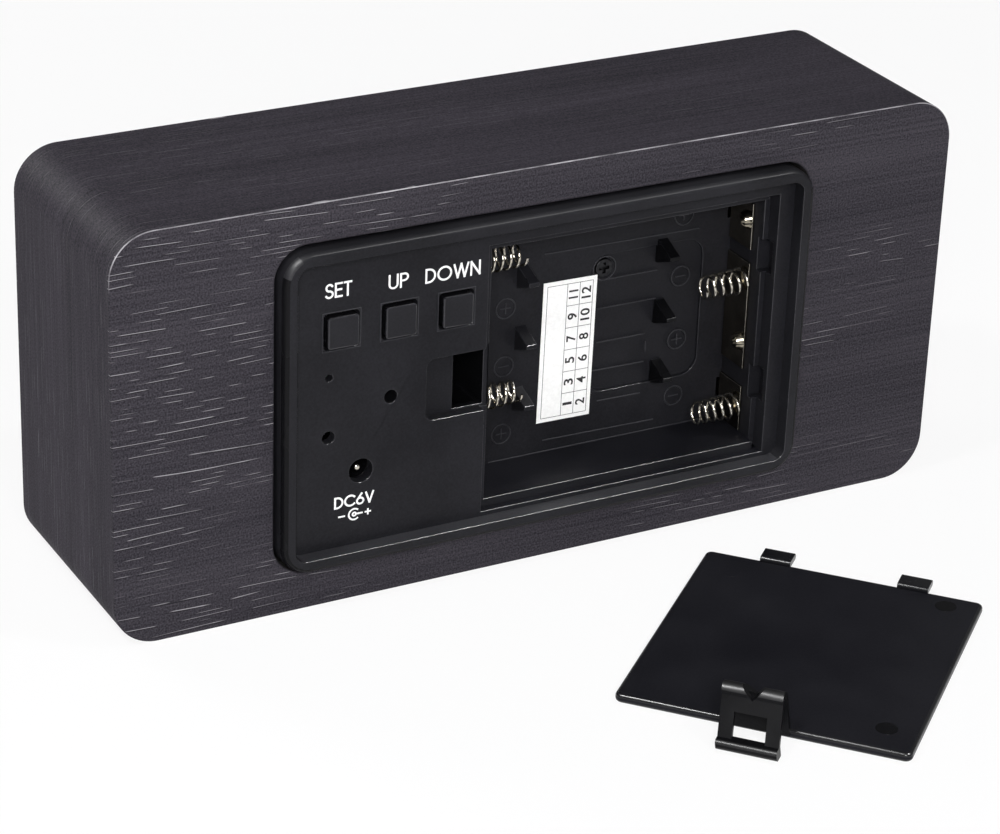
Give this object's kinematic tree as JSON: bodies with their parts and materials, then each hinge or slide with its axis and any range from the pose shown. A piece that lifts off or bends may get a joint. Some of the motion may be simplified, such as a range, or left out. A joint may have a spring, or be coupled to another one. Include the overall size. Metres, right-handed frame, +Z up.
{
  "type": "digital desk clock",
  "caption": "Block-shaped desk clock in dark wood-grain film, with rear buttons, power inlet, open battery tray with springs and contacts, and a latched battery door lying beside it.",
  "frame": {"origin": "centre of the case's base, on the table", "axes": "+Z up, +X along the case's width, -Y out of the display face and +Y out of the battery panel"},
  "size_m": [0.15, 0.1189, 0.0692],
  "materials": {
    "veneer_film": "dark embossed wood grain",
    "fibreboard": "raw cut",
    "black_abs": "fine satin",
    "nickel_contact": "nickel plated",
    "spring_wire": "nickel plated",
    "screw_steel": "dark plated",
    "label_paper": "matt",
    "circuit_board": "solder mask",
    "moulded_epoxy": "moulded",
    "mask_plastic": "moulded",
    "ribbon_plastic": "flexible",
    "red_lead": "insulated wire",
    "black_lead": "insulated wire"
  },
  "bodies": {
    "case": {"edge_wrap": "veneer_film", "front_veneer": "veneer_film", "rear_veneer": "veneer_film", "mdf_core": "fibreboard", "rear_panel": "black_abs", "terminal_positive": "nickel_contact", "link_right": "nickel_contact", "terminal_negative": "nickel_contact", "link_left_upper": "nickel_contact", "link_left_lower": "nickel_contact", "crystal": "nickel_contact", "microphone": "nickel_contact", "spring_row1": "spring_wire", "spring_row2": "spring_wire", "spring_row3": "spring_wire", "spring_row4": "spring_wire", "dc_jack_pin": "spring_wire", "control_screw": "screw_steel", "tray_screw": "screw_steel", "board_screw_upper": "screw_steel", "board_screw_lower": "screw_steel", "date_label": "label_paper", "main_board": "circuit_board", "display_board": "circuit_board", "set_switch": "moulded_epoxy", "up_switch": "moulded_epoxy", "down_switch": "moulded_epoxy", "dc_jack": "moulded_epoxy", "clock_chip": "moulded_epoxy", "buzzer": "moulded_epoxy", "thermistor": "moulded_epoxy", "digit_mask": "mask_plastic", "display_ribbon": "ribbon_plastic", "lead_positive": "red_lead", "lead_negative": "black_lead"},
    "set_button": {"set_button": "black_abs", "set_plunger": "black_abs"},
    "up_button": {"up_button": "black_abs", "up_plunger": "black_abs"},
    "down_button": {"down_button": "black_abs", "down_plunger": "black_abs"},
    "door": {"battery_door": "black_abs"},
    "tongue": {"door_latch": "black_abs"}
  },
  "joints": [
    {"name": "set_press", "type": "slide", "parent": "case", "child": "set_button", "axis": [0, -1, 0], "range_m": [0, 0.0005], "stiffness_N_per_m": 1500},
    {"name": "up_press", "type": "slide", "parent": "case", "child": "up_button", "axis": [0, -1, 0], "range_m": [0, 0.0005], "stiffness_N_per_m": 1500},
    {"name": "down_press", "type": "slide", "parent": "case", "child": "down_button", "axis": [0, -1, 0], "range_m": [0, 0.0005], "stiffness_N_per_m": 1500},
    {"name": "door_lift", "type": "slide", "parent": "case", "child": "door", "axis": [0, 0, 1], "range_m": [0, 0.06]},
    {"name": "latch_flex", "type": "hinge", "parent": "door", "child": "tongue", "pos_m": [-0.00162, 0.08286, 0.00695], "axis": [-0.6738, 0.7389, 0], "range_deg": [0, 10], "stiffness_Nm_per_rad": 0.2}
  ]
}
